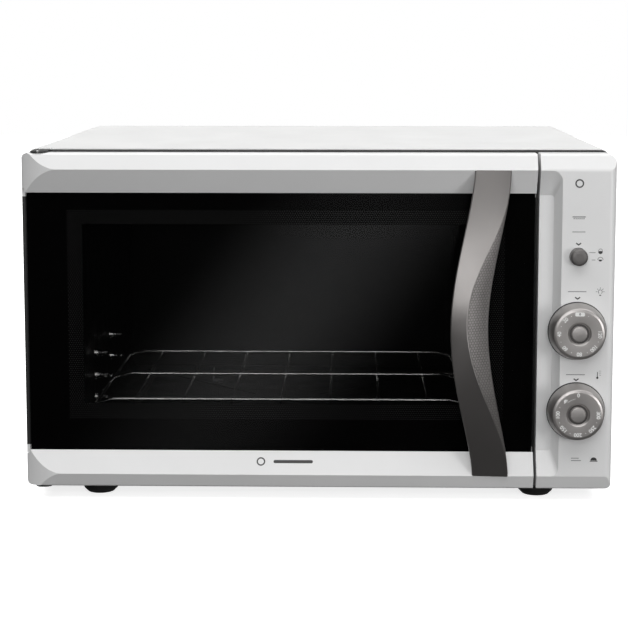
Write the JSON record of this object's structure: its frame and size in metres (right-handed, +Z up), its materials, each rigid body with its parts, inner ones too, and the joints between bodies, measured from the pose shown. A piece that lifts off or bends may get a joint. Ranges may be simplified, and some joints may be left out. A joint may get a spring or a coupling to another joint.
{
  "type": "toaster oven",
  "caption": "Countertop electric oven: side-hinged dark glass door with an S-curved vertical handle, control panel with dials and a push button, wire rack inside.",
  "frame": {"origin": "centre of the whole part's footprint on the surface that the feet stand on", "axes": "+Z up, front (door and controls) faces -Y, +X to the right as seen from the front"},
  "size_m": [0.58, 0.512, 0.348],
  "materials": {
    "white_panel": "satin powder coat",
    "white_plastic": "smooth moulded",
    "black_enamel": "black enamel",
    "cavity_steel": "aluminised sheet",
    "zinc_sheet": "galvanised sheet",
    "dark_glass": "smoked tempered glass",
    "clear_glass": "clear tempered glass",
    "grey_plastic": "metallic grey moulded",
    "grey_grip": "textured grip",
    "black_plastic": "matte black",
    "feet_rubber": "matt",
    "gasket_rubber": "silicone",
    "chrome_wire": "bright plated wire",
    "screw_steel": "zinc plated",
    "element_steel": "heat darkened sheath",
    "ceramic": "unglazed",
    "wool": "glass wool blanket",
    "brass_terminal": "plain",
    "switch_body": "moulded",
    "wire_cover": "silicone covered"
  },
  "bodies": {
    "housing": {"cabinet_shell": "white_panel", "base_panel": "zinc_sheet", "rear_panel": "zinc_sheet", "front_frame": "black_enamel", "oven_chamber": "cavity_steel", "insulation_blanket": "wool", "heat_shield": "zinc_sheet", "control_fascia": "white_plastic", "control_bracket": "zinc_sheet", "feet": "feet_rubber", "wall_spacers": "black_plastic", "cord_inlet_bush": "black_plastic", "side_screws": "screw_steel", "rear_screws": "screw_steel", "upper_hinge_bracket": "black_enamel", "lower_hinge_bracket": "black_enamel", "latch_clip": "screw_steel", "timer_body": "zinc_sheet", "thermostat_body": "switch_body", "thermostat_capillary": "screw_steel", "grill_switch_body": "switch_body", "grill_button_spring": "screw_steel", "upper_element": "element_steel", "grill_element": "element_steel", "lower_element": "element_steel", "element_bushes": "ceramic", "element_terminals": "brass_terminal", "element_clips": "zinc_sheet", "lamp_cover": "clear_glass", "lamp_bulb": "clear_glass", "lamp_socket": "ceramic", "lamp_bracket": "zinc_sheet", "terminal_block": "switch_body", "wiring_loom": "wire_cover", "rack_studs": "chrome_wire"},
    "door": {"door_top_bar": "white_plastic", "door_bottom_bar": "white_plastic", "door_left_stile": "black_plastic", "door_right_stile": "black_plastic", "door_outer_glass": "dark_glass", "door_inner_glass": "clear_glass", "door_inner_panel": "black_enamel", "door_gasket": "gasket_rubber", "door_handle": "grey_plastic", "inner_glass_clips": "screw_steel", "handle_grip_insert": "grey_grip", "handle_screws": "screw_steel", "upper_hinge_pin": "screw_steel", "lower_hinge_pin": "screw_steel", "latch_stud": "screw_steel"},
    "timer_dial": {"timer_shaft": "screw_steel", "timer_knob": "grey_plastic", "timer_knob_cap": "grey_plastic"},
    "thermostat_dial": {"thermostat_shaft": "screw_steel", "thermostat_knob": "grey_plastic", "thermostat_knob_cap": "grey_plastic"},
    "button": {"grill_button": "grey_plastic", "grill_plunger": "switch_body"},
    "rack": {"wire_rack": "chrome_wire"}
  },
  "joints": [
    {"name": "door_hinge", "type": "hinge", "parent": "housing", "child": "door", "pos_m": [-0.2735, -0.21, 0.18], "axis": [0, 0, -1], "range_deg": [0, 105]},
    {"name": "timer_turn", "type": "hinge", "parent": "housing", "child": "timer_dial", "pos_m": [0.2534, -0.224, 0.173], "axis": [0, 1, 0], "range_deg": [-45, 270]},
    {"name": "thermostat_turn", "type": "hinge", "parent": "housing", "child": "thermostat_dial", "pos_m": [0.2534, -0.224, 0.0936], "axis": [0, 1, 0], "range_deg": [0, 270]},
    {"name": "grill_push", "type": "slide", "parent": "housing", "child": "button", "axis": [0, 1, 0], "range_m": [0, 0.004], "stiffness_N_per_m": 300, "springref_m": -0.004, "deforming": ["grill_button_spring"]},
    {"name": "rack_slide", "type": "slide", "parent": "housing", "child": "rack", "axis": [0, -1, 0], "range_m": [-0.025, 0.035]}
  ]
}
